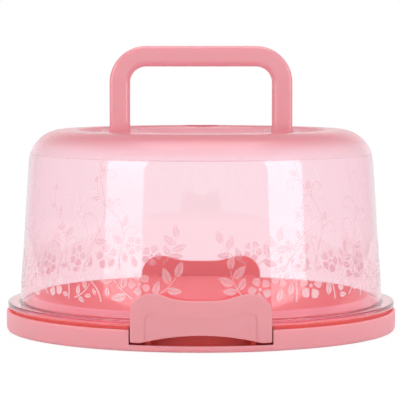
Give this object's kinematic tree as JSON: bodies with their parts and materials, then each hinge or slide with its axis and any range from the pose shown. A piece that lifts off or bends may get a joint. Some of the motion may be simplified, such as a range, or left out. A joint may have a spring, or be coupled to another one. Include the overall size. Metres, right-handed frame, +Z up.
{
  "type": "cake carrier",
  "caption": "Round cake carrier: tray with raised platform, clear tinted lift-off lid with dished cap, fold-down carry handle, and latches that hook over the lid's flange.",
  "frame": {"origin": "centre of the tray's underside, on the surface it stands on", "axes": "+Z up, -Y towards the front latch, +X to the right seen from the front, along the handle's grip"},
  "size_m": [0.3, 0.3044, 0.217],
  "materials": {
    "pink_tray": "glossy moulded pink plastic",
    "clear_pink_dome": "clear moulded plastic with a pale pink tint",
    "dense_pink_cap": "translucent moulded plastic with a denser pink tint",
    "pink_handle": "glossy moulded pink plastic",
    "pink_latch": "satin moulded pink plastic",
    "steel_pin": "drawn steel wire"
  },
  "bodies": {
    "tray": {"base_tray": "pink_tray", "front_latch_pin_left": "steel_pin", "front_latch_pin_right": "steel_pin", "rear_latch_pin_left": "steel_pin", "rear_latch_pin_right": "steel_pin"},
    "lid": {"lid_dome": "clear_pink_dome", "lid_cap": "dense_pink_cap", "handle_pin_left": "pink_handle", "handle_pin_right": "pink_handle"},
    "handle": {"carry_handle": "pink_handle"},
    "front_latch": {"front_latch": "pink_latch"},
    "rear_latch": {"rear_latch": "pink_latch"}
  },
  "joints": [
    {"name": "lid_lift", "type": "slide", "parent": "tray", "child": "lid", "axis": [0, 0, 1], "range_m": [0, 0.17]},
    {"name": "handle_fold", "type": "hinge", "parent": "lid", "child": "handle", "pos_m": [0, 0, 0.1463], "axis": [1, 0, 0], "range_deg": [-90, 90]},
    {"name": "front_latch_swing", "type": "hinge", "parent": "tray", "child": "front_latch", "pos_m": [0, -0.13997, 0.0088], "axis": [1, 0, 0], "range_deg": [0, 28]},
    {"name": "rear_latch_swing", "type": "hinge", "parent": "tray", "child": "rear_latch", "pos_m": [0, 0.13997, 0.0088], "axis": [-1, 0, 0], "range_deg": [0, 28]}
  ]
}
